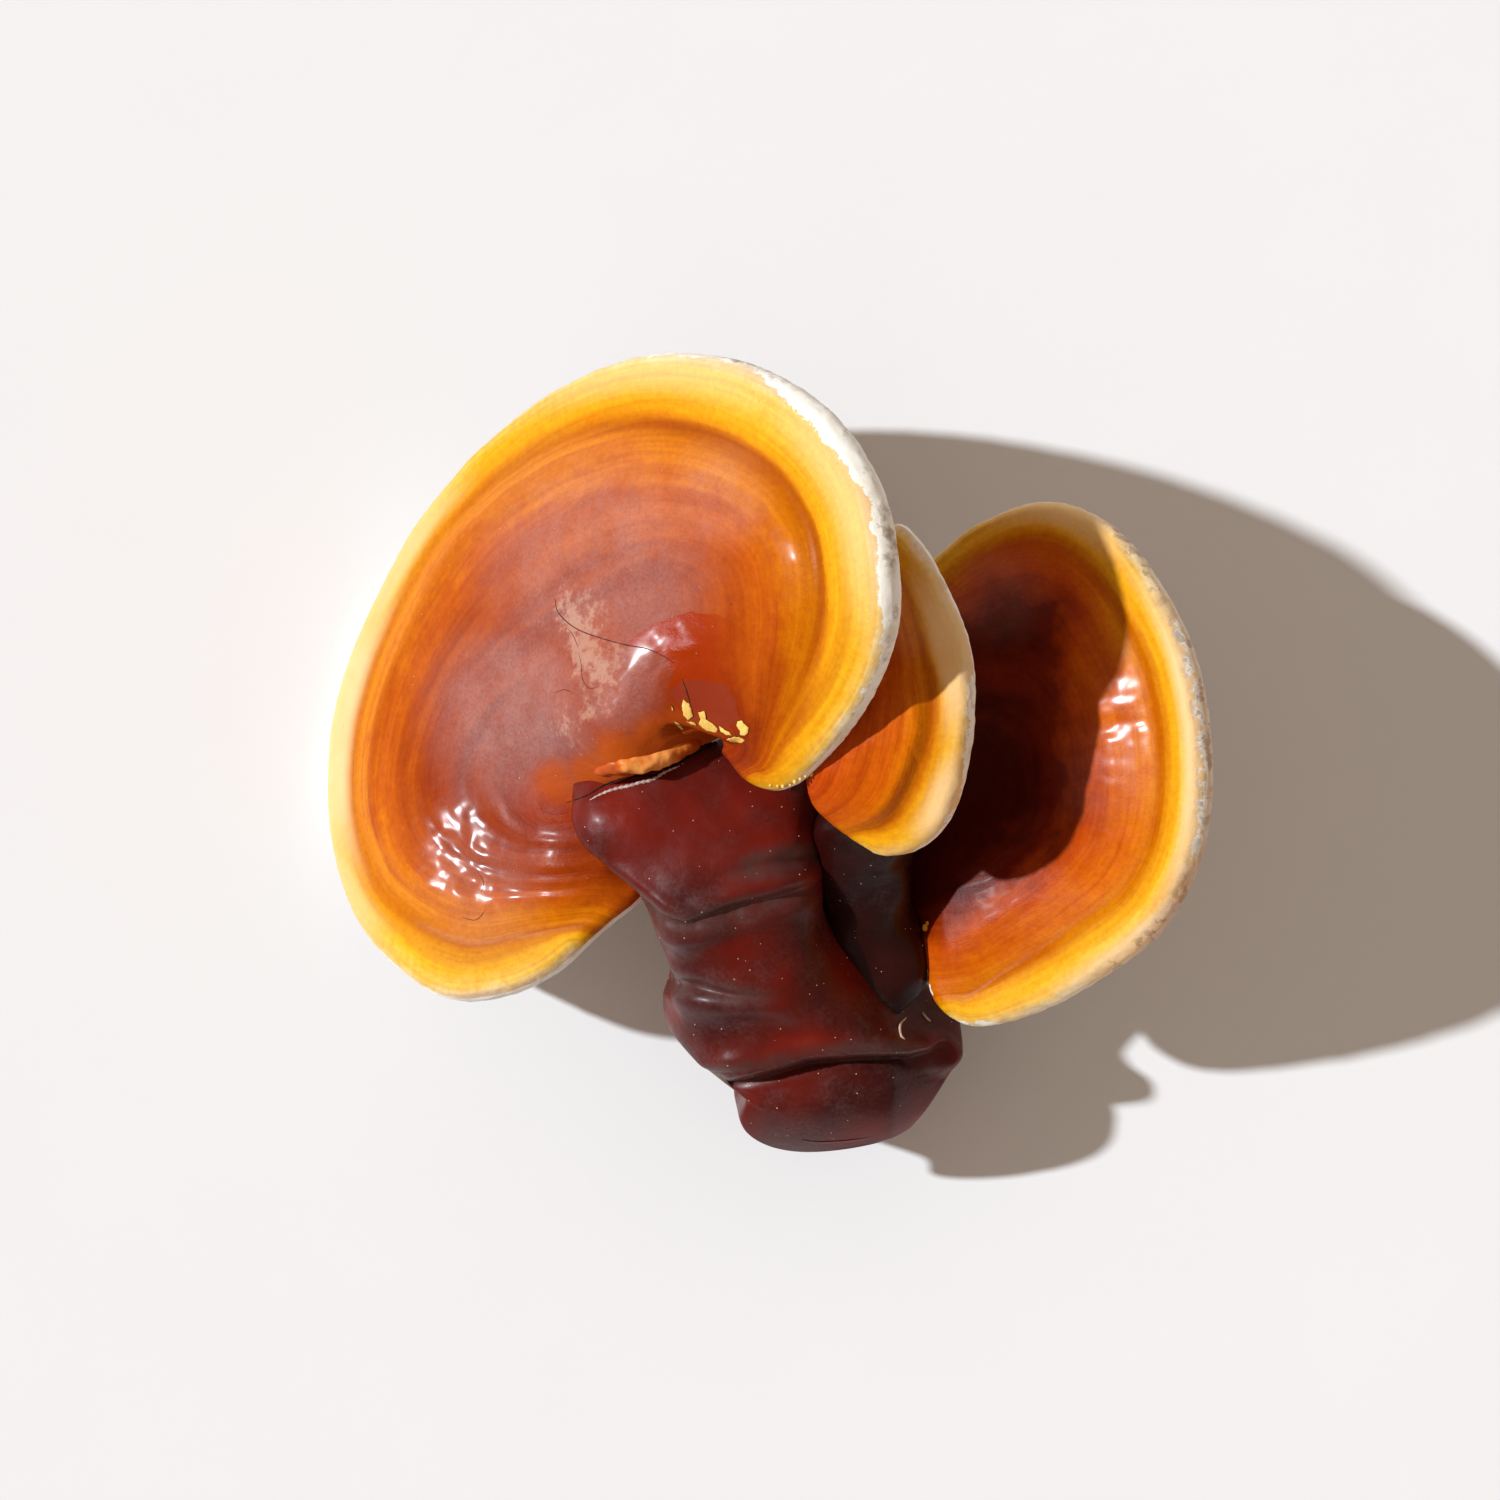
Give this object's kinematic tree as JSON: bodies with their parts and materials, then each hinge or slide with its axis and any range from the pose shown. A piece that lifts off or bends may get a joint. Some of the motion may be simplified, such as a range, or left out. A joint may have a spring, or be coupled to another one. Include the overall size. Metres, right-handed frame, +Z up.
{
  "type": "reishi mushroom",
  "caption": "Dried bracket mushroom lying as picked: lacquered kidney- and fan-shaped caps with pale rolled rims on a knobbly dark red forked stem.",
  "frame": {"origin": "on the ground under the middle of the overall bounding box", "axes": "+Z up from the ground it lies on, +X towards the right cap, +Y away from the cut foot of the stem"},
  "size_m": [0.1379, 0.1243, 0.0829],
  "materials": {
    "cap_lacquer": "glossy natural lacquer, red-brown at the root through orange and yellow to a cream rim",
    "stem_lacquer": "glossy natural lacquer, dark maroon, dusted with pale spores"
  },
  "bodies": {
    "root": {"stem": "stem_lacquer", "side_stem": "stem_lacquer", "large_cap": "cap_lacquer", "middle_cap": "cap_lacquer", "right_cap": "cap_lacquer"}
  },
  "joints": []
}
